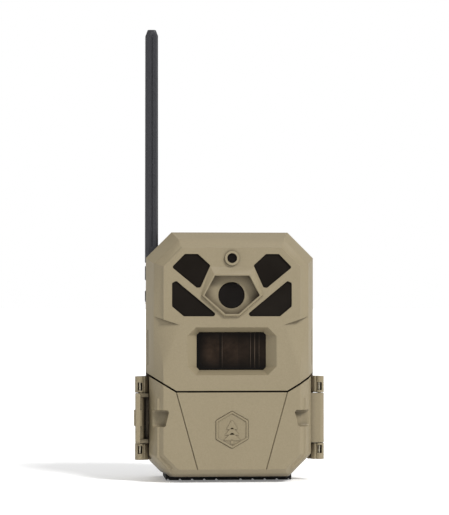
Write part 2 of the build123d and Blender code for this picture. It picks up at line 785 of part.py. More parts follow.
with BuildPart() as cells:
    rod_y(facing_front, cell_radius, (cell_front_y + nub_height, cell_back_y))
    rod_y(facing_front, nub_radius, (cell_front_y, cell_front_y + nub_height))
    rod_y(facing_back, cell_radius, (cell_front_y, cell_back_y - nub_height))
    rod_y(facing_back, nub_radius, (cell_back_y - nub_height, cell_back_y))
save(cells.part, "aa_cells")

spring_y = (cell_back_y, cell_back_y + spring_height)
with BuildPart() as cell_springs:
    with BuildSketch(Plane.XY) as wire:
        with BuildLine():
            Polyline(
                (spring_radii[0], 0),
                (spring_radii[0] + spring_wire, 0),
                (spring_radii[1] + spring_wire, spring_height),
                (spring_radii[1], spring_height),
                close=True,
            )
        make_face()
    coil = revolve(wire.sketch, axis=Axis.Y, mode=Mode.PRIVATE)
    with Locations(*[(x, spring_y[0], z) for x, z in all_cells]):
        add(coil)
save(cell_springs.part, "cell_springs")

spring_board_y = (spring_y[1], floor_y)
with BuildPart() as spring_board:
    block(
        (column_x[0] - cell_radius, column_x[-1] + cell_radius),
        spring_board_y,
        (row_z[0] - nub_radius, row_z[-1] + cell_radius),
    )
save(spring_board.part, "spring_board")

contact_y = cell_front_y - contact_gap
with BuildPart() as contact_carrier:
    block(
        (column_x[0] - contact_half, column_x[-1] + contact_half),
        (inside_y, contact_y - contact_thickness),
        (row_z[0] - contact_half - contact_margin, row_z[-1] + contact_half + contact_margin),
    )
    chamfer(contact_carrier.edges().filter_by(Axis.Y), skin)
save(contact_carrier.part, "contact_carrier")

with BuildPart() as door_contacts:
    for left, right in zip(column_x[::2], column_x[1::2]):
        for z in row_z:
            block(
                (left - contact_half, right + contact_half),
                (contact_y - contact_thickness, contact_y),
                (z - contact_half, z + contact_half),
            )
save(door_contacts.part, "door_contacts")

# ---------------------------------------------------------------- controls above the cells
board_floor = strip_low + play
board_top = board_floor + control_board_thickness
card_low = board_top + socket_floor
panel_half_width = bay_half_width - play
panel_back_y = panel_y + panel_thickness
panel_depth = (panel_y, panel_back_y)
status_light_places = [(x, control_z) for x in status_light_x]
card_front_y = panel_y - card_proud
sim_front_y = panel_y - sim_proud
socket_front_y = panel_back_y + socket_setback
buttons = {"power_button": power_button_x, "setup_button": setup_button_x}
switch_front_y = panel_back_y + switch_depth
button_flange_y = (panel_back_y + play, panel_back_y + play + button_flange)


def slot_z(thickness):
    return (card_low - socket_gap, card_low + thickness + socket_gap)


with BuildPart() as control_board:
    block((-panel_half_width + skin, panel_half_width - skin), control_board_y, (board_floor, board_top))
save(control_board.part, "control_board")

with BuildPart() as control_panel:
    block((-panel_half_width, panel_half_width), panel_depth, (strip_low, strip_high))
    chamfer(control_panel.edges().filter_by(Axis.Y), panel_thickness / 2)
    for x in buttons.values():
        rod_y([(x, control_z)], button_radius + play, panel_depth, mode=Mode.SUBTRACT)
    rod_y(status_light_places, status_light_radius, panel_depth, mode=Mode.SUBTRACT)
    for x, width, thickness in ((card_x, card_width, card_thickness), (sim_x, sim_width, sim_thickness)):
        half = width / 2 + play
        low, high = slot_z(thickness)
        block((x - half, x + half), panel_depth, (low - play, high + play), mode=Mode.SUBTRACT)
save(control_panel.part, "control_panel")

for name, x in buttons.items():
    with BuildPart() as button:
        rod_y([(x, control_z)], button_radius, (panel_y - button_proud, button_flange_y[0]))
        fillet(button.edges().group_by(Axis.Y)[0], button_proud / 2)
        rod_y([(x, control_z)], button_radius + button_flange, button_flange_y)
        stem_y = (button_flange_y[1], switch_front_y - button_travel - fit_gap)
        rod_y([(x, control_z)], button_stem_radius, stem_y)
    save(button.part, name)

switch_width, switch_length, switch_height = switch_size
with BuildPart() as switches:
    for x in buttons.values():
        block(
            (x - switch_width / 2, x + switch_width / 2),
            (switch_front_y, switch_front_y + switch_length),
            (board_top, board_top + switch_height),
        )
save(switches.part, "button_switches")

with BuildPart() as status_lights:
    rod_y(status_light_places, status_light_radius, (panel_y - play, panel_back_y + skin))
save(status_lights.part, "status_lights")

for name, socket_name, x, width, length, thickness, front_y in (
    ("memory_card", "card_socket", card_x, card_width, card_length, card_thickness, card_front_y),
    ("sim_card", "sim_socket", sim_x, sim_width, sim_length, sim_thickness, sim_front_y),
):
    with BuildPart() as card:
        block((x - width / 2, x + width / 2), (front_y, front_y + length), (card_low, card_low + thickness))
        back_corner = card.edges().filter_by(Axis.Z).group_by(Axis.Y)[-1].sort_by(Axis.X)[0]
        chamfer(back_corner, card_corner)
    save(card.part, name)
    with BuildPart() as socket:
        low, high = slot_z(thickness)
        end_y = front_y + length + skin
        half = width / 2 + socket_gap
        block(
            (x - half - socket_wall, x + half + socket_wall),
            (socket_front_y, end_y + socket_floor),
            (board_top, high + socket_floor),
        )
        block((x - half, x + half), (socket_front_y, end_y), (low, high), mode=Mode.SUBTRACT)
    save(socket.part, socket_name)

# ---------------------------------------------------------------- lens and sensor electronics
lens_barrel_y = (ir_board_y + fit_gap, lens_barrel_back_y)
glass_radii = (lens_barrel_radius - lens_rim, lens_barrel_radius - 2 * lens_rim)
glass_y = (lens_barrel_y[0] + pane_sink, lens_barrel_y[0] + 2 * lens_rim, lens_barrel_y[0] + 4 * lens_rim)
with BuildPart() as lens_barrel:
    rod_y(lens_axis, lens_barrel_radius, lens_barrel_y)
    rod_y(lens_axis, glass_radii[0], (lens_barrel_y[0], glass_y[1]), mode=Mode.SUBTRACT)
    rod_y(lens_axis, glass_radii[1], lens_barrel_y, mode=Mode.SUBTRACT)
save(lens_barrel.part, "lens_barrel")

with BuildPart() as lens_glass:
    rod_y(lens_axis, glass_radii[0], glass_y[:2])
    rod_y(lens_axis, glass_radii[1], glass_y[1:])
    fillet(lens_glass.edges().group_by(Axis.Y)[0], lens_rim)
save(lens_glass.part, "lens_glass")

collar_front_y, base_front_y, base_back_y = lens_holder_y
with BuildPart() as lens_holder:
    rod_y(lens_axis, lens_barrel_radius + wall, (collar_front_y, base_front_y))
    block(
        (-lens_holder_half_width, lens_holder_half_width),
        (base_front_y, base_back_y),
        (lens_z - lens_holder_half_height, lens_z + lens_holder_half_height),
    )
    rod_y(lens_axis, lens_barrel_radius, (collar_front_y, lens_barrel_back_y), mode=Mode.SUBTRACT)
    rod_y(lens_axis, glass_radii[1], (lens_barrel_back_y, base_back_y), mode=Mode.SUBTRACT)
    block(
        (-filter_slot_half[0], filter_slot_half[0]),
        filter_y,
        (lens_z - filter_slot_half[1], lens_z + filter_slot_half[1]),
        mode=Mode.SUBTRACT,
    )
save(lens_holder.part, "lens_holder")

with BuildPart() as ir_filter:
    filter_left = -filter_slot_half[0] + fit_gap
    filter_half_height = filter_slot_half[1] - play
    block(
        (filter_left, filter_left + filter_width),
        (filter_y[0] + filter_gap, filter_y[1] - filter_gap),
        (lens_z - filter_half_height, lens_z + filter_half_height),
    )
save(ir_filter.part, "ir_cut_filter")

with BuildPart() as image_board:
    block(
        (-image_board_half[0], image_board_half[0]),
        (base_back_y, base_back_y + board_thickness),
        (lens_z - image_board_half[1], lens_z + image_board_half[1]),
    )
save(image_board.part, "image_board")

ir_board_depth = (ir_board_y, ir_board_y + board_thickness)
with BuildPart() as ir_board_part:
    block(ir_board[:2], ir_board_depth, ir_board[2:])
    chamfer(ir_board_part.edges().filter_by(Axis.Y).group_by(Axis.Z)[-1], ir_board_corner)
    rod_y(lens_axis, lens_barrel_radius + wall, ir_board_depth, mode=Mode.SUBTRACT)
save(ir_board_part.part, "ir_board")

with BuildPart() as ir_leds:
    all_leds = [(side * x, z) for side in (-1, 1) for x, z in led_places]
    rod_y(all_leds, led_radius, (ir_board_y - led_height, ir_board_y))
    fillet(ir_leds.edges().group_by(Axis.Y)[0], led_radius / 2)
save(ir_leds.part, "ir_leds")

with BuildPart() as light_sensor:
    rod_y([(0, light_sensor_z)], light_can_radius, (ir_board_y - light_can_height, ir_board_y))
save(light_sensor.part, "light_sensor")

motion_board_y = (parting_y, parting_y + board_thickness)
with BuildPart() as motion_board:
    block(
        (-motion_board_half[0], motion_board_half[0]),
        motion_board_y,
        (motion_z - motion_board_half[1], motion_z + motion_board_half[1]),
    )
save(motion_board.part, "motion_board")

with BuildPart() as motion_sensor:
    rod_y([(0, motion_z)], motion_sensor_radius, (parting_y - motion_sensor_height, parting_y))
    flange_y = (parting_y - motion_sensor_flange, parting_y)
    rod_y([(0, motion_z)], motion_sensor_radius + motion_sensor_flange, flange_y)
save(motion_sensor.part, "motion_sensor")

with BuildPart() as main_board_part:
    block(main_board[:2], (main_board_y, main_board_y + board_thickness), main_board[2:])
    rod_y(board_posts, screw_radius, (main_board_y, main_board_y + board_thickness), mode=Mode.SUBTRACT)
save(main_board_part.part, "main_board")

with BuildPart() as cellular_module:
    block(module[:2], (main_board_y - module_height, main_board_y), module[2:])
    chamfer(cellular_module.edges().filter_by(Axis.Y), module_height / 3)
save(cellular_module.part, "cellular_module")

# ---------------------------------------------------------------- antenna
nut_z = (shelf_z + nut_rise, shelf_z + nut_rise + nut_height)
ear_z = antenna_pivot_z
fork_low = ear_z - ear_radius - neck_step
knuckle_half = antenna_half_width - ear_thickness - play
fork_x = (antenna_x - antenna_half_width, antenna_x + antenna_half_width)
eye_radius = antenna_half_depth - eye_gap
with BuildPart() as antenna_socket:
    rod_z(antenna_x, antenna_y, thread_radius, (shelf_z - 2 * wall, nut_z[1] - nut_rise))
    rod_z(antenna_x, antenna_y, thread_radius + socket_flange, (shelf_z, nut_z[0] - play))
save(antenna_socket.part, "antenna_socket")

with BuildPart() as antenna_knuckle:
    rod_z(antenna_x, antenna_y, collar_radius, nut_z)
    chamfer(antenna_knuckle.edges().group_by(Axis.Z)[-1], nut_chamfer)
    rod_z(antenna_x, antenna_y, collar_radius - neck_step, (nut_z[1], fork_low))
    block(fork_x, (antenna_y - antenna_half_depth, antenna_y + antenna_half_depth), (fork_low, ear_z))
    rod_x(antenna_y, ear_z, antenna_half_depth, fork_x)
    block(
        (antenna_x - knuckle_half - play, antenna_x + knuckle_half + play),
        (antenna_y - ear_radius, antenna_y + ear_radius),
        (ear_z - ear_radius, ear_z + ear_radius),
        mode=Mode.SUBTRACT,
    )
    rod_x(antenna_y, ear_z, pin_radius, fork_x, mode=Mode.SUBTRACT)
    rod_z(antenna_x, antenna_y, thread_radius + pin_clearance, nut_z, mode=Mode.SUBTRACT)
save(antenna_knuckle.part, "antenna_knuckle")

with BuildPart() as antenna_pin:
    rod_x(antenna_y, ear_z, pin_radius, fork_x)
save(antenna_pin.part, "antenna_pin")


def blade_section(z, scale):
    """Cross-section of the whip: a flattened octagon."""
    with BuildSketch(Plane.XY.offset(z)) as section:
        with Locations((antenna_x, antenna_y)):
            Rectangle(2 * antenna_half_width * scale, 2 * antenna_half_depth * scale)
            chamfer(section.vertices(), length=blade_chamfer[0] * scale, length2=blade_chamfer[1] * scale)
    return section.sketch


with BuildPart() as antenna_whip:
    blade_z = ear_z + blade_start
    tip_z = antenna_tip_z - tip_length
    loft([blade_section(blade_z, 1.0), blade_section(tip_z, tip_scale)])
    loft([blade_section(tip_z, tip_scale), blade_section(antenna_tip_z, tip_end_scale)])
    block(
        (antenna_x - blade_groove_half, antenna_x + blade_groove_half),
        (antenna_y - 2 * antenna_half_depth, antenna_y - antenna_half_depth * tip_scale + eye_gap),
        (blade_z + blade_groove_start, antenna_tip_z),
        mode=Mode.SUBTRACT,
    )
    block(
        (antenna_x - knuckle_half, antenna_x + knuckle_half),
        (antenna_y - eye_radius, antenna_y + eye_radius),
        (ear_z, blade_z),
    )
    rod_x(antenna_y, ear_z, eye_radius, (antenna_x - knuckle_half, antenna_x + knuckle_half))
    rod_x(antenna_y, ear_z, pin_radius + pin_clearance, fork_x, mode=Mode.SUBTRACT)
save(antenna_whip.part, "antenna_whip")

# ---------------------------------------------------------------- foot and tripod sockets
with BuildPart() as foot:
    block((-foot_half_width, foot_half_width), (foot_front_y, foot_back_y), (0, foot_top))
    ruled_form(((parting_y, case_outline), (back_y, back_outline)), mode=Mode.SUBTRACT)
    fillet(foot.edges().group_by(Axis.Z)[0], foot_round)
    rod_z(0, 0, insert_radius, (0, foot_top), mode=Mode.SUBTRACT)
save(foot.part, "rubber_foot")

with BuildPart() as tripod_insert:
    rod_z(0, 0, insert_radius, (0, insert_top))
    rod_z(0, 0, tripod_radius, (0, tripod_length), mode=Mode.SUBTRACT)
save(tripod_insert.part, "tripod_insert")

with BuildPart() as back_insert:
    rod_y([(0, back_socket_z)], insert_radius, (back_insert_y, back_y))
    rod_y([(0, back_socket_z)], tripod_radius, (back_y - tripod_length, back_y), mode=Mode.SUBTRACT)
save(back_insert.part, "back_tripod_insert")

# ---------------------------------------------------------------- tree bracket
plate_y = (back_y, back_y + plate_thickness)
rail_end_y = plate_y[1] + rail_depth
with BuildPart() as bracket:
    block((-plate_half_width, plate_half_width), plate_y, (plate_low, plate_high))
    chamfer(bracket.edges().filter_by(Axis.Y), plate_corner)
    teeth = int((plate_high - plate_low - 2 * rail_end_margin) // tooth_pitch)
    rail_low = (plate_low + plate_high - teeth * tooth_pitch) / 2
    rail_profile = [(plate_y[0] + skin, rail_low), (rail_end_y - tooth_depth, rail_low)]
    for i in range(teeth):
        base = rail_low + i * tooth_pitch
        rail_profile += [(rail_end_y, base + tooth_pitch / 2), (rail_end_y - tooth_depth, base + tooth_pitch)]
    rail_profile.append((plate_y[0] + skin, rail_low + teeth * tooth_pitch))
    for left in (-plate_half_width + rail_margin, plate_half_width - rail_margin - rail_thickness):
        with BuildSketch(Plane.YZ.offset(left)) as rail:
            Polygon(*rail_profile, align=None)
        extrude(rail.sketch, amount=rail_thickness)
    middle = (plate_low + plate_high) / 2
    strap_y = (plate_y[1], plate_y[1] + strap_gap)
    strap_z = (middle - strap_width / 2, middle + strap_width / 2)
    block((-plate_half_width, plate_half_width), strap_y, strap_z, mode=Mode.SUBTRACT)
    rod_y([(0, back_socket_z)], insert_radius + skin, plate_y, mode=Mode.SUBTRACT)
    rod_y(plate_screws, screw_radius, plate_y, mode=Mode.SUBTRACT)
save(bracket.part, "tree_bracket")


def screws(places, head_y, length, name):
    """Pan head screws pointing forwards."""
    with BuildPart() as group:
        rod_y(places, screw_radius, (head_y - length, head_y))
        rod_y(places, screw_head_radius, (head_y, head_y + screw_head_height))
    save(group.part, name)


screws(plate_screws, plate_y[1], plate_screw_length, "bracket_screws")
screws(case_screws, case_screw_y[1], case_screw_y[1] - case_screw_y[0], "case_screws")
with BuildPart() as board_screws:
    rod_y(board_posts, screw_radius, (main_board_y, main_board_y + board_screw_length))
    rod_y(board_posts, screw_head_radius, (main_board_y - screw_head_height, main_board_y))
save(board_screws.part, "board_screws")

# ---------------------------------------------------------------- power jack and its cover
jack_x = (jack_wall_x + skin, jack_wall_x + skin + jack_length)
with BuildPart() as power_jack:
    rod_x(jack_y, jack_z, jack_radius, jack_x)
    rod_x(jack_y, jack_z, plug_radius, (jack_x[0], jack_x[1] - jack_end_wall), mode=Mode.SUBTRACT)
    rod_x(jack_y, jack_z, jack_pin_radius, (jack_x[0] + jack_end_wall, jack_x[1]))
save(power_jack.part, "power_jack")

with BuildPart() as jack_cover:
    cover_x = (jack_wall_x - cover_proud, jack_wall_x + skin)
    cover_y = (jack_recess_y[0] + play, jack_recess_y[1] - play)
    cover_z = (jack_recess_z[0] + play, jack_recess_z[1] - play)
    block(cover_x, cover_y, cover_z)
save(jack_cover.part, "jack_cover")
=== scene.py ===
from math import cos, pi, radians, sin

import bpy
from mathutils import Matrix, Vector


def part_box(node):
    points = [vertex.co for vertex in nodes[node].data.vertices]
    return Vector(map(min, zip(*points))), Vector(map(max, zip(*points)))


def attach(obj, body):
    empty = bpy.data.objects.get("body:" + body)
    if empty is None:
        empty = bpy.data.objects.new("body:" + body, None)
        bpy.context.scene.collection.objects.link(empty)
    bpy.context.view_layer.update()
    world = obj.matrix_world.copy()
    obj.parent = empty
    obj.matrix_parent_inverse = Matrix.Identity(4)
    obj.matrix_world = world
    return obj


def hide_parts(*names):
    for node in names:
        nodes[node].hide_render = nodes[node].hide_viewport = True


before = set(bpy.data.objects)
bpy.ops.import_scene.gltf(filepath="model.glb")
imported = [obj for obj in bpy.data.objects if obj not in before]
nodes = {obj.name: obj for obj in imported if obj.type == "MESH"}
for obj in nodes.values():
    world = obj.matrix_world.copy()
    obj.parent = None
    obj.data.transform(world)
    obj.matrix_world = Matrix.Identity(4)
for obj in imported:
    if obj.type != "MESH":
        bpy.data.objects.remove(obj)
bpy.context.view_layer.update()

mm = 0.001  # every length in this file is given in millimetres times this
bevelAngle = 32  # degrees an edge has to turn before it is rounded
smoothAngle = 36  # degrees up to which neighbouring faces are shaded as one
mergeDistance = 0.004 * mm
flatAngle = 0.6  # degrees up to which triangles count as one flat face
bpy.ops.object.select_all(action="DESELECT")
print("frame loaded:", len(nodes), "nodes")


def only(piece):
    # selects one object and makes it the active one
    bpy.ops.object.select_all(action="DESELECT")
    piece.select_set(True)
    bpy.context.view_layer.objects.active = piece
    return piece


def pickFaces(piece, test):
    # opens edit mode with the faces selected whose normal passes the test
    only(piece)
    bpy.ops.object.mode_set(mode="EDIT")
    bpy.ops.mesh.select_mode(type="FACE")
    bpy.ops.mesh.select_all(action="DESELECT")
    bpy.ops.object.mode_set(mode="OBJECT")
    for face in piece.data.polygons:
        face.select = test(face.normal)
    bpy.ops.object.mode_set(mode="EDIT")


def doneEditing():
    bpy.ops.object.mode_set(mode="OBJECT")


def settle(piece):
    # puts the place, turn and scale into the mesh
    only(piece)
    bpy.ops.object.transform_apply(location=True, rotation=True, scale=True)
    return piece


def modify(piece, kind, **settings):
    modifier = piece.modifiers.new(kind.title(), kind)
    for key, value in settings.items():
        setattr(modifier, key, value)
    only(piece)
    bpy.ops.object.modifier_apply(modifier=modifier.name)
    return piece


def roundEdges(piece, width, clamp=False):
    # a small round on every edge that turns by more than the bevel angle
    modify(piece, "BEVEL", width=width, segments=2, limit_method="ANGLE", angle_limit=radians(bevelAngle),
           use_clamp_overlap=clamp, miter_outer="MITER_SHARP" if clamp else "MITER_ARC")
    only(piece)
    bpy.ops.object.shade_smooth_by_angle(angle=radians(smoothAngle))
    return modify(piece, "WEIGHTED_NORMAL", keep_sharp=True, weight=100)


def joined(pieces, name):
    # one object out of several, with its place in its mesh
    bpy.ops.object.select_all(action="DESELECT")
    for piece in pieces:
        piece.select_set(True)
    bpy.context.view_layer.objects.active = pieces[0]
    if len(pieces) > 1:
        bpy.ops.object.join()
    pieces[0].name = name
    return settle(pieces[0])


def copied(piece, name, matrix):
    # a twin with its own mesh, moved by the matrix
    twin = bpy.data.objects.new(name, piece.data.copy())
    bpy.context.scene.collection.objects.link(twin)
    twin.data.transform(matrix)
    return twin


def finished(piece, name, body, material, slot, *replaced):
    # hands a piece to the frame: its finish, the body it rides on and the CAD nodes it stands for
    piece.name = name
    piece.data.materials.clear()
    piece.data.materials.append(material)
    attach(piece, body)
    if replaced:
        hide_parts(*replaced)


def cut(piece, tool):
    # takes the tool's shape out of the piece and throws the tool away
    modify(piece, "BOOLEAN", object=tool, operation="DIFFERENCE", solver="EXACT")
    bpy.data.objects.remove(tool)
    return piece


def bar(name, x, y, z):
    # a box between low and high along each axis, in millimetres
    bpy.ops.mesh.primitive_cube_add(size=1)
    piece = bpy.context.object
    piece.name = name
    low, high = Vector((x[0], y[0], z[0])), Vector((x[1], y[1], z[1]))
    piece.scale = (high - low) * mm
    piece.location = (low + high) / 2 * mm
    return settle(piece)


def disc(name, radius, y):
    # a round bar along Y, in millimetres
    bpy.ops.mesh.primitive_cylinder_add(vertices=32, radius=radius * mm, depth=(y[1] - y[0]) * mm,
                                        location=(0, (y[0] + y[1]) / 2 * mm, 0), rotation=(pi / 2, 0, 0))
    bpy.context.object.name = name
    return settle(bpy.context.object)


def ring(radius, wire, place, sides, wireSides, axis="Z"):
    # a plain ring round Z or Y; radius, wire and place in millimetres
    bpy.ops.mesh.primitive_torus_add(major_radius=radius * mm, minor_radius=wire * mm, major_segments=sides,
                                     minor_segments=wireSides, location=Vector(place) * mm,
                                     rotation=(pi / 2 if axis == "Y" else 0, 0, 0))
    return settle(bpy.context.object)


def smoothJoined(rings, name):
    made = joined(rings, name)
    bpy.ops.object.shade_smooth()
    return made


def nodeCopy(node, width, clamp=False):
    # a copy of a CAD node with its triangles merged into whole faces and its edges rounded
    piece = bpy.data.objects.new(node + "Form", nodes[node].data.copy())
    bpy.context.scene.collection.objects.link(piece)
    only(piece)
    bpy.ops.object.mode_set(mode="EDIT")
    bpy.ops.mesh.select_all(action="SELECT")
    bpy.ops.mesh.remove_doubles(threshold=mergeDistance)
    bpy.ops.mesh.dissolve_limited(angle_limit=radians(flatAngle))
    doneEditing()
    return roundEdges(piece, width * mm, clamp=clamp) if width else piece


class Value:
    # a node's output that can be used in sums
    def __init__(self, shader, socket):
        self.shader, self.socket = shader, socket

    def combine(self, operation, first, second):
        return self.shader.node("ShaderNodeMath", {"operation": operation}, {0: first, 1: second})

    def __add__(self, other): return self.combine("ADD", self, other)
    def __radd__(self, other): return self.combine("ADD", other, self)
    def __mul__(self, other): return self.combine("MULTIPLY", self, other)
    def __rmul__(self, other): return self.combine("MULTIPLY", other, self)
    def __truediv__(self, other): return self.combine("DIVIDE", self, other)
    def __gt__(self, other): return self.combine("GREATER_THAN", self, other)
    def __lt__(self, other): return self.combine("LESS_THAN", self, other)


class Finish:
    # one procedural material: keyword constants go on the surface's sockets, feed() links what varies
    def __init__(self, name, **constants):
        self.material = bpy.data.materials.new(name)
        self.material.use_nodes = True
        self.tree = self.material.node_tree
        self.surface = self.tree.nodes["Principled BSDF"]
        for key, value in constants.items():
            self.surface.inputs[key.replace("_", " ")].default_value = value
        self.place = self.node("ShaderNodeTexCoord", {}, {}, "Object")

    def node(self, kind, settings, inputs, output=0):
        made = self.tree.nodes.new(kind)
        for key, value in settings.items():
            setattr(made, key, value)
        for key, value in inputs.items():
            if isinstance(value, Value):
                self.tree.links.new(value.socket, made.inputs[key])
            else:
                made.inputs[key].default_value = value
        return Value(self, made.outputs[output])

    def noise(self, scale, detail=3.0, roughness=0.5, place=None):
        return self.node("ShaderNodeTexNoise", {}, {"Vector": place or self.place, "Scale": scale,
                                                    "Detail": detail, "Roughness": roughness})

    def axis(self, name):
        return self.node("ShaderNodeSeparateXYZ", {}, {0: self.place}, name)

    def stretched(self, scale):
        return self.node("ShaderNodeMapping", {}, {"Vector": self.place, "Scale": scale})

    def between(self, value, low, high, bottom=0.0, top=1.0):
        return self.node("ShaderNodeMapRange", {}, {"Value": value, "From Min": low, "From Max": high,
                                                    "To Min": bottom, "To Max": top})

    def mixed(self, factor, first, second):
        return self.node("ShaderNodeMix", {"data_type": "RGBA"}, {"Factor": factor, 6: first, 7: second}, 2)

    def feed(self, **sockets):
        for key, value in sockets.items():
            self.tree.links.new(value.socket, self.surface.inputs[key.replace("_", " ")])

    def bump(self, height, distance, strength=1.0):
        inputs = {"Height": height, "Distance": distance, "Strength": strength}
        self.feed(Normal=self.node("ShaderNodeBump", {}, inputs))


def colour(red, green, blue):
    # display values from 0 to 255 as linear light, with alpha
    linear = []
    for part in (red, green, blue):
        part /= 255
        linear.append(part / 12.92 if part <= 0.04045 else ((part + 0.055) / 1.055) ** 2.4)
    return (*linear, 1.0)


def mouldedPlastic(name, dark, light, rough, grain, grainDepth, paintedShade=None):
    # moulded plastic: faint flow marks, fine spark grain, specks of a lighter tone and, if a shade colour is
    # given, painted shade in hollows, seams and recesses
    finish = Finish(name, Specular_IOR_Level=0.35)
    flow = finish.noise(26.0, 4.0, 0.6)
    speck = finish.noise(1100.0, 2.0, 0.7)
    body = finish.mixed(finish.between(flow * 0.25 + speck * 0.75, 0.36, 0.64), dark, light)
    # painted shade: ambient occlusion pulls the colour towards the shade colour where walls close in
    if paintedShade:
        reach = 7 * mm  # walls nearer than this darken a crevice
        shadeOcclusion = finish.node("ShaderNodeAmbientOcclusion", {"samples": 8}, {"Distance": reach}, "AO")
        body = finish.mixed(finish.between(shadeOcclusion, 0.22, 0.85), paintedShade, body)
    handling = finish.noise(60.0, 3.0) * 0.5 + speck * 0.5
    finish.feed(Base_Color=body, Roughness=finish.between(handling, 0.3, 0.7, rough - 0.06, rough + 0.06))
    finish.bump(finish.noise(grain, 3.0, 0.65), grainDepth, 0.5)
    return finish.material


# the last colour of the case and badge finishes is painted shade for hollows, seams and recesses
tan = mouldedPlastic("tanCasePlastic", colour(129, 118, 94), colour(134, 123, 99), 0.5, 1900.0, 0.12 * mm,
                     colour(50, 38, 22))
badgeTan = mouldedPlastic("badgePlastic", colour(126, 115, 91), colour(131, 120, 96), 0.42, 2600.0, 0.05 * mm,
                          colour(70, 56, 36))
blackPlastic = mouldedPlastic("blackMouldedPlastic", colour(30, 30, 31), colour(38, 38, 39), 0.5, 1600.0, 0.1 * mm)
antennaBlack = mouldedPlastic("antennaSleeve", colour(40, 40, 43), colour(50, 50, 54), 0.36, 1400.0, 0.08 * mm)
knuckleBlack = mouldedPlastic("antennaNylon", colour(34, 34, 36), colour(42, 42, 44), 0.45, 1700.0, 0.08 * mm)
darkBody = mouldedPlastic("jackBodyPlastic", colour(22, 22, 23), colour(30, 30, 31), 0.4, 1500.0, 0.06 * mm)
cardPlastic = mouldedPlastic("cardPlastic", colour(24, 26, 30), colour(32, 34, 38), 0.35, 1800.0, 0.04 * mm)


def rubber(name, dark, light, rough):
    # matt rubber with pale dust on it
    finish = Finish(name, Specular_IOR_Level=0.3)
    dust = finish.between(finish.noise(90.0, 5.0, 0.7), 0.45, 0.75)
    finish.feed(Base_Color=finish.mixed(dust, dark, light),
                Roughness=finish.between(finish.noise(400.0), 0.3, 0.7, rough - 0.08, rough + 0.08))
    finish.bump(finish.noise(1200.0, 4.0, 0.7), 0.1 * mm, 0.6)
    return finish.material


blackRubber = rubber("blackRubber", colour(24, 24, 24), colour(44, 43, 41), 0.78)
buttonRubber = rubber("buttonRubber", colour(52, 53, 55), colour(70, 71, 72), 0.66)


def smokedPane(name, deep, shallow, rough, coat):
    # dark infrared-passing acrylic: nearly black, with a faint cloud inside and fine hairlines on the polish
    finish = Finish(name, Specular_IOR_Level=0.06, Coat_Roughness=0.08)
    cloud = finish.noise(45.0, 3.0, 0.5)
    hairline = finish.noise(260.0, 4.0, 0.8, finish.stretched((1.0, 1.0, 7.0)))
    finish.feed(Base_Color=finish.mixed(finish.between(cloud, 0.35, 0.7), deep, shallow),
                Roughness=finish.between(hairline, 0.35, 0.75, rough - 0.05, rough + 0.1),
                Coat_Weight=finish.between(hairline, 0.3, 0.8, coat, coat * 0.6))
    finish.bump(hairline, 0.01 * mm, 0.3)
    return finish.material


infraredPane = smokedPane("infraredPane", colour(20, 16, 12), colour(26, 22, 18), 0.34, 0.04)
lensPane = smokedPane("lensPane", colour(18, 15, 13), colour(24, 21, 19), 0.2, 0.1)


def motionPane():
    # smoky brown lens sheet with painted light: the facets inside as lighter and darker broad bands, thin vertical
    # lines as painted highlights, darker at the ends
    finish = Finish("motionSensorLens", Specular_IOR_Level=0.05, Coat_Roughness=0.06)
    across, up = finish.axis("X") / mm, finish.axis("Z") / mm
    # painted light: brighter and darker bands where the facets inside the sheet lie
    facetLight = finish.between(across, -21.0, -15.0) * finish.between(across, -8.2, -7.6, 1.0, 0.35)
    facetLight = facetLight + (across > -5.6) * (across < 4.4) * 0.5 + (across > 4.4) * (across < 11.5) * 0.22
    # painted highlights: thin light lines along the facet edges
    streakHighlight = 0.0
    for at, halfWidth in ((12.6, 0.22), (15.3, 0.3), (18.2, 0.16), (-5.9, 0.18)):
        streakHighlight = streakHighlight + (across > at - halfWidth) * (across < at + halfWidth) * 0.5
    cloud = finish.noise(130.0, 3.0, 0.6)
    # the painted light fades towards the top and bottom of the sheet
    level = finish.between(up, 73.5, 82.0) * finish.between(up, 97.5, 88.0, 0.25, 1.0)
    paintedFacetLight = facetLight * level * finish.between(cloud, 0.34, 0.66, 0.45, 1.0)
    body = finish.mixed(finish.between(paintedFacetLight, 0.0, 1.0), colour(6, 4, 2), colour(44, 33, 24))
    finish.feed(Base_Color=finish.mixed(streakHighlight * level, body, colour(84, 73, 62)),
                Roughness=finish.between(cloud, 0.3, 0.7, 0.1, 0.2),
                Coat_Weight=finish.between(cloud, 0.3, 0.7, 0.03, 0.08))
    finish.bump(streakHighlight, 0.02 * mm, 0.3)
    return finish.material


motionLens = motionPane()


def metal(name, dark, light, rough, scale, stretch=(1.0, 1.0, 1.0)):
    # bare or blackened metal with brush marks along the stretched axis
    finish = Finish(name, Metallic=1.0)
    brush = finish.noise(scale, 5.0, 0.7, finish.stretched(stretch))
    tarnish = finish.noise(70.0, 4.0, 0.6)
    finish.feed(Base_Color=finish.mixed(finish.between(tarnish * 0.6 + brush * 0.4, 0.35, 0.65), dark, light),
                Roughness=finish.between(brush, 0.3, 0.7, rough - 0.08, rough + 0.1))
    finish.bump(brush, 0.02 * mm, 0.4)
    return finish.material


pinSteel = metal("pinSteel", colour(168, 160, 140), colour(206, 198, 178), 0.42, 900.0, (1.0, 1.0, 0.1))
blackSteel = metal("blackScrewSteel", colour(52, 52, 54), colour(82, 82, 84), 0.4, 800.0)
insertBrass = metal("insertBrass", colour(168, 132, 72), colour(206, 172, 106), 0.32, 700.0)
shieldTin = metal("shieldTin", colour(160, 160, 158), colour(200, 200, 198), 0.36, 600.0, (0.2, 1.0, 1.0))
anodised = metal("anodisedBarrel", colour(28, 28, 30), colour(44, 44, 46), 0.4, 900.0)
contactNickel = metal("contactNickel", colour(186, 182, 170), colour(214, 211, 202), 0.26, 1000.0,
                      (0.15, 1.0, 1.0))


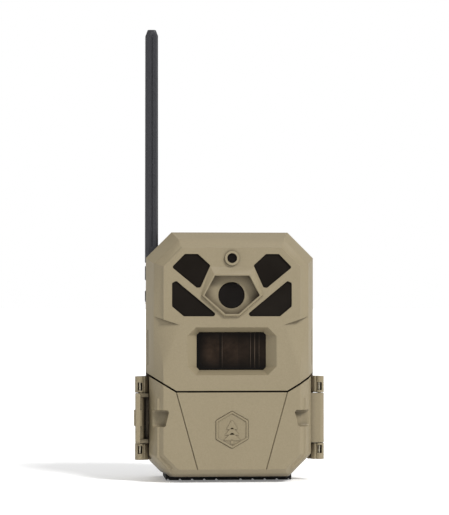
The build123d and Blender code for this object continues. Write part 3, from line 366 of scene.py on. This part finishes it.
def cellJacket():
    # printed sleeve: charcoal with a copper band at the positive end, bare metal at both ends
    finish = Finish("cellSleeve", Metallic=0.55, Specular_IOR_Level=0.5)
    along = finish.axis("Y") / mm
    scuff = finish.noise(300.0, 4.0, 0.6)
    copperBand = (along < -12.0) * (along > -24.6)
    sleeve = finish.mixed(copperBand, colour(40, 42, 46), colour(170, 108, 62))
    bare = finish.between(along, -24.95, -25.0) + finish.between(along, 23.0, 23.1)
    body = finish.mixed(bare, sleeve, colour(188, 188, 184))
    finish.feed(Base_Color=finish.mixed(finish.between(scuff, 0.6, 0.8) * 0.4, body, colour(150, 150, 148)),
                Roughness=finish.between(scuff, 0.3, 0.7, 0.24, 0.4))
    finish.bump(scuff, 0.02 * mm, 0.3)
    return finish.material


def laminate():
    # circuit board: green mask over copper runs with small pads
    finish = Finish("boardLaminate", Specular_IOR_Level=0.5)
    upright = finish.node("ShaderNodeMapping", {}, {"Vector": finish.place, "Rotation": (pi / 2, 0, 0)})
    bricks = finish.node("ShaderNodeTexBrick", {"offset": 0.37, "squash": 0.7},
                         {"Vector": upright, "Scale": 60.0, "Mortar Size": 0.03, "Color1": (0, 0, 0, 1),
                          "Color2": (0.4, 0.4, 0.4, 1), "Mortar": (1, 1, 1, 1)})
    runs = finish.between(bricks, 0.0, 1.0)
    weave = finish.noise(800.0, 3.0, 0.6)
    finish.feed(Base_Color=finish.mixed(runs, colour(22, 66, 40), colour(58, 112, 66)),
                Roughness=finish.between(weave, 0.3, 0.7, 0.3, 0.5))
    finish.bump(runs + weave * 0.3, 0.04 * mm, 0.4)
    return finish.material


def clearPart(name, tint, rough, through, cloudy):
    # clear or tinted plastic or glass with a faint haze
    finish = Finish(name, Transmission_Weight=through, IOR=1.49)
    haze = finish.noise(220.0, 3.0, 0.6)
    finish.feed(Base_Color=finish.mixed(finish.between(haze, 0.35, 0.7), tint, cloudy),
                Roughness=finish.between(haze, 0.3, 0.7, rough, rough + 0.12))
    finish.bump(haze, 0.01 * mm, 0.2)
    return finish.material


sleeve = cellJacket()
board = laminate()
statusPipe = clearPart("statusLightPipe", colour(196, 200, 190), 0.25, 0.3, colour(226, 228, 220))
opticGlass = clearPart("opticGlass", colour(70, 78, 108), 0.04, 0.5, colour(96, 92, 130))
ledEpoxy = clearPart("smokedEpoxy", colour(50, 42, 52), 0.12, 0.3, colour(70, 60, 70))
insulator = rubber("cellEndRing", colour(178, 176, 168), colour(196, 194, 186), 0.5)
print("finishes made:", len(bpy.data.materials))

# finishes of the CAD nodes that are shown as they are
nodeLooks = (
    (blackPlastic, ("battery_holder", "contact_carrier", "lens_holder")),
    (darkBody, ("button_switches", "power_jack")),
    (cardPlastic, ("sim_card",)),
    (blackRubber, ("door_gasket",)),
    (lensPane, ("light_sensor_window",)),
    (statusPipe, ("status_lights",)),
    (pinSteel, ("hinge_pin", "latch_pin", "antenna_pin", "board_screws")),
    (blackSteel, ("case_screws", "bracket_screws")),
    (contactNickel, ("cell_springs",)),
    (sleeve, ("aa_cells",)),
    (board, ("control_board", "image_board", "ir_board", "motion_board", "main_board", "spring_board")),
    (shieldTin, ("card_socket", "sim_socket", "cellular_module", "motion_sensor")),
    (insertBrass, ("antenna_socket", "tripod_insert", "back_tripod_insert")),
    (anodised, ("lens_barrel",)),
    (opticGlass, ("lens_glass", "ir_cut_filter")),
    (ledEpoxy, ("ir_leds", "light_sensor")),
)
for look, nodeNames in nodeLooks:
    for nodeName in nodeNames:
        nodes[nodeName].data.materials.clear()
        nodes[nodeName].data.materials.append(look)

# rounded copies of the moulded parts; node: (piece, body, edge radius in millimetres, finish, slot)
shells = {
    "front_housing": ("frontShell", "case", 0.28, tan, "tan_plastic"),
    "battery_door": ("doorShell", "battery_door", 0.26, tan, "tan_plastic"),
    "rear_housing": ("rearShell", "case", 0.3, tan, "tan_plastic"),
    "latch_lever": ("latchLever", "latch_lever", 0.3, tan, "tan_plastic"),
    "door_badge": ("doorBadge", "battery_door", 0.18, badgeTan, "badge_plastic"),
    "upper_right_ir_window": ("upperRightPane", "case", 0.25, infraredPane, "ir_window_plastic"),
    "upper_left_ir_window": ("upperLeftPane", "case", 0.25, infraredPane, "ir_window_plastic"),
    "lower_right_ir_window": ("lowerRightPane", "case", 0.25, infraredPane, "ir_window_plastic"),
    "lower_left_ir_window": ("lowerLeftPane", "case", 0.25, infraredPane, "ir_window_plastic"),
    "lens_window": ("lensPane", "case", 0.2, lensPane, "lens_window_glass"),
    "motion_window": ("motionPane", "case", 0.25, motionLens, "motion_lens_plastic"),
    "antenna_whip": ("antennaBlade", "antenna_whip", 0.3, antennaBlack, "black_plastic"),
    "antenna_knuckle": ("antennaKnuckle", "antenna_knuckle", 0.3, knuckleBlack, "knuckle_plastic"),
    "tree_bracket": ("treeBracket", "case", 0.5, blackPlastic, "black_plastic"),
    "control_panel": ("controlPanel", "case", 0.2, blackPlastic, "black_plastic"),
    "power_button": ("powerButton", "power_button", 0.15, buttonRubber, "button_rubber"),
    "setup_button": ("setupButton", "setup_button", 0.15, buttonRubber, "button_rubber"),
    "memory_card": ("memoryCard", "memory_card", 0.2, cardPlastic, "card_plastic"),
    "jack_cover": ("jackCover", "jack_cover", 0.4, blackRubber, "black_rubber"),
    "door_contacts": ("doorContacts", "battery_door", 0.12, contactNickel, "pin_steel"),
}
for nodeName, (pieceName, body, width, look, slotName) in shells.items():
    shell = nodeCopy(nodeName, width, clamp=nodeName == "front_housing")
    finished(shell, pieceName, body, look, slotName, nodeName)
print("shells rounded:", len(shells))

# rubber foot with tread grooves across it, none where the tripod socket is
foot = {"grooves": 11, "pitch": 8.0, "width": 1.6, "depth": 0.9, "clear": 6.0, "edge": 0.35}
footLow, footHigh = (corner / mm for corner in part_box("rubber_foot"))
footForm = nodeCopy("rubber_foot", 0)
treads = []
for i in range(foot["grooves"]):
    middle = (i - (foot["grooves"] - 1) / 2) * foot["pitch"]
    if abs(middle) > foot["clear"]:
        treads.append(bar("tread", (middle - foot["width"] / 2, middle + foot["width"] / 2),
                          (footLow.y - 1, footHigh.y + 1), (-1, foot["depth"])))
cut(footForm, joined(treads, "treads"))
roundEdges(footForm, foot["edge"] * mm)
finished(footForm, "rubberFoot", "case", blackRubber, "black_rubber", "rubber_foot")

# fir tree in relief on the badge; each tier and the trunk are (half width, bottom, top)
tree = {"tiers": ((5.6, 27.6, 32.6), (4.7, 31.2, 36.0), (3.7, 34.8, 40.6)), "trunk": (1.0, 25.4, 28.2),
        "rise": 0.5, "sunk": 0.1, "borderDepth": 0.6, "tip": 0.12, "edge": 0.15}
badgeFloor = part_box("door_badge")[0].y / mm + tree["borderDepth"]
treeY = (badgeFloor - tree["rise"], badgeFloor + tree["sunk"])
trunkHalf, *trunkZ = tree["trunk"]
parts = [bar("trunk", (-trunkHalf, trunkHalf), treeY, trunkZ)]
for half, bottom, top in tree["tiers"]:
    tier = bar("tier", (-half, half), treeY, (bottom, top))
    pickFaces(tier, lambda normal: normal.z > 0.9)
    bpy.ops.transform.resize(value=(tree["tip"], 1, 1))
    doneEditing()
    parts.append(tier)
firTree = joined(parts, "firTree")
roundEdges(firTree, tree["edge"] * mm)
finished(firTree, "badgeTree", "battery_door", badgeTan, "badge_plastic")


# screws with a cross recess, heads to the back
screw = {"radius": 2.8, "height": 1.8, "dome": 0.5, "flat": 0.75, "slotHalf": 0.13, "slotReach": 0.62,
         "slotDepth": 0.9}


def screwHead(top):
    # one head on the Y axis: a domed disc with two crossed slots
    radius = screw["radius"]
    head = disc("screwHead", radius, (top - screw["height"], top - screw["dome"]))
    pickFaces(head, lambda normal: normal.y > 0.9)
    bpy.ops.mesh.inset(thickness=radius * (1 - screw["flat"]) * mm)
    bpy.ops.transform.translate(value=(0, screw["dome"] * mm, 0))
    doneEditing()
    slot, reach = radius * screw["slotHalf"], radius * screw["slotReach"]
    for x, z in ((reach, slot), (slot, reach)):
        cut(head, bar("slot", (-x, x), (top - screw["slotDepth"], top + 1), (-z, z)))
    only(head)
    bpy.ops.object.shade_smooth_by_angle(angle=radians(30))
    return head


caseScrews = {"upper": (20.0, 154.0), "lower": (47.0, 73.0)}  # half spacing and height of each pair
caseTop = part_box("case_screws")[1].y
bracketLow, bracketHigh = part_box("bracket_screws")
oneHead = screwHead(bracketHigh.y / mm)
edge = screw["radius"] * mm
heads = []
for x in (bracketLow.x + edge, bracketHigh.x - edge):
    for z in (bracketLow.z + edge, bracketHigh.z - edge):
        heads.append(copied(oneHead, "head", Matrix.Translation((x, 0, z))))
for spacing, height in caseScrews.values():
    for x in (-spacing, spacing):
        heads.append(copied(oneHead, "head", Matrix.Translation((x * mm, caseTop - bracketHigh.y, height * mm))))
bpy.data.objects.remove(oneHead)
finished(joined(heads, "screwHeads"), "screwHeads", "case", blackSteel, "pin_steel")
print("foot, badge and screws done")

# knurled nut of the antenna, round the axis of its fold pin
nut = {"ribs": 20, "radius": 4.15, "width": 0.7, "root": 0.4, "proud": 0.25, "z": (117.9, 124.4), "edge": 0.2}
pinLow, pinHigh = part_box("antenna_pin")
nutAxis = Matrix.Translation(((pinLow.x + pinHigh.x) / 2, (pinLow.y + pinHigh.y) / 2, 0))
rib = bar("rib", (nut["radius"] - nut["root"], nut["radius"] + nut["proud"]),
          (-nut["width"] / 2, nut["width"] / 2), nut["z"])
roundEdges(rib, nut["edge"] * mm)
ribs = [copied(rib, "nutRib", nutAxis @ Matrix.Rotation(2 * pi * i / nut["ribs"], 4, "Z"))
        for i in range(nut["ribs"])]
bpy.data.objects.remove(rib)
finished(joined(ribs, "nutRibs"), "antennaNutRibs", "antenna_knuckle", knuckleBlack, "knuckle_plastic")

# coarse thread inside the two tripod sockets
thread = {"turns": 6, "pitch": 1.27, "start": 0.7, "radius": 2.5, "wire": 0.3}
turns = [ring(thread["radius"], thread["wire"], (0, 0, thread["start"] + i * thread["pitch"]), 36, 6)
         for i in range(thread["turns"])]
underThread = smoothJoined(turns, "tripodThread")
socketLow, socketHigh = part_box("back_tripod_insert")
backPlace = Matrix.Translation((0, socketHigh.y, (socketLow.z + socketHigh.z) / 2))
backThread = copied(underThread, "backTripodThread", backPlace @ Matrix.Rotation(radians(90), 4, "X"))
finished(underThread, "tripodThread", "case", insertBrass, "brass")
finished(backThread, "backTripodThread", "case", insertBrass, "brass")

# insulating ring on the end of each cell that faces the door; every other column is turned round
cells = {"columns": 6, "rows": 2, "pitch": 15.0, "low": 19.3, "front": -25.9, "turnedBack": 1.0,
         "radius": 6.55, "wire": 0.42}
endRings = []
for i in range(cells["columns"]):
    for j in range(cells["rows"]):
        front = cells["front"] + (cells["turnedBack"] if i % 2 == 0 else 0)
        place = ((i - (cells["columns"] - 1) / 2) * cells["pitch"], front, cells["low"] + j * cells["pitch"])
        endRings.append(ring(cells["radius"], cells["wire"], place, 40, 8, "Y"))
finished(smoothJoined(endRings, "cellEndRings"), "cellEndRings", "case", insulator, "cell_jacket")

# floor, light and camera
bpy.ops.mesh.primitive_plane_add(size=60, location=(0, 0, 0))
floor = bpy.context.object
floor.name = "paleFloor"
floorLook = Finish("paleFloor", Specular_IOR_Level=0.1, Roughness=0.9, Emission_Color=(1, 1, 1, 1),
                   Emission_Strength=0.2)
floorLook.feed(Base_Color=floorLook.mixed(floorLook.noise(14.0), colour(250, 250, 250), colour(254, 254, 254)))
floor.data.materials.append(floorLook.material)

studio = {"behindCamera": 0.05, "around": 0.5, "backdrop": 1.0}
world = bpy.data.worlds.new("studio")
bpy.context.scene.world = world
world.use_nodes = True
worldTree = world.node_tree
sky = worldTree.nodes["Background"]
sky.inputs["Color"].default_value = (1, 1, 1, 1)
backdrop = worldTree.nodes.new("ShaderNodeBackground")
backdrop.inputs["Color"].default_value = (1, 1, 1, 1)
backdrop.inputs["Strength"].default_value = studio["backdrop"]
direction = worldTree.nodes.new("ShaderNodeTexCoord")
split = worldTree.nodes.new("ShaderNodeSeparateXYZ")
dim = worldTree.nodes.new("ShaderNodeMapRange")  # the room behind the camera is dark
dimmed = {"From Min": -1.0, "From Max": -0.4, "To Min": studio["behindCamera"], "To Max": studio["around"]}
for key, value in dimmed.items():
    dim.inputs[key].default_value = value
rays = worldTree.nodes.new("ShaderNodeLightPath")
choose = worldTree.nodes.new("ShaderNodeMixShader")
for start, end in ((direction.outputs["Generated"], split.inputs[0]), (split.outputs["Y"], dim.inputs["Value"]),
                   (dim.outputs[0], sky.inputs["Strength"]), (rays.outputs["Is Camera Ray"], choose.inputs[0]),
                   (sky.outputs[0], choose.inputs[1]), (backdrop.outputs[0], choose.inputs[2]),
                   (choose.outputs[0], worldTree.nodes["World Output"].inputs[0])):
    worldTree.links.new(start, end)

# each lamp: direction it comes from, softness in degrees, strength
lamps = {
    "keyLamp": ((0.5, -0.72, 0.75), 16.0, 2.9),
    "topLamp": ((0.05, 0.1, 1.0), 60.0, 0.5),
    "fillLamp": ((-0.8, -0.7, 0.25), 80.0, 0.35),
}
for name, (place, softness, strength) in lamps.items():
    bpy.ops.object.light_add(type="SUN", location=place)
    lamp = bpy.context.object
    lamp.name = name
    lamp.data.angle = radians(softness)
    lamp.data.energy = strength
    lamp.rotation_euler = (-Vector(place)).to_track_quat("-Z", "Y").to_euler()

view = {"azimuth": -4.5, "distance": 1.5, "target": (-4.9, -36.0, 146.0), "eyeHeight": 118.0, "frameHeight": 333.5,
        "sensor": 36.0}
target = Vector(view["target"]) * mm
swing = radians(view["azimuth"])
eye = target + Vector((sin(swing), -cos(swing), 0)) * view["distance"]
eye.z = view["eyeHeight"] * mm
bpy.ops.object.camera_add(location=eye)
camera = bpy.context.object
camera.rotation_euler = (target - eye).to_track_quat("-Z", "Y").to_euler()
camera.data.sensor_width = view["sensor"]
camera.data.lens = view["sensor"] * view["distance"] / (view["frameHeight"] * mm)
camera.data.clip_start = 0.05
camera.data.clip_end = 50
bpy.context.scene.camera = camera
bpy.context.scene.view_settings.view_transform = "Standard"
print("stage set")
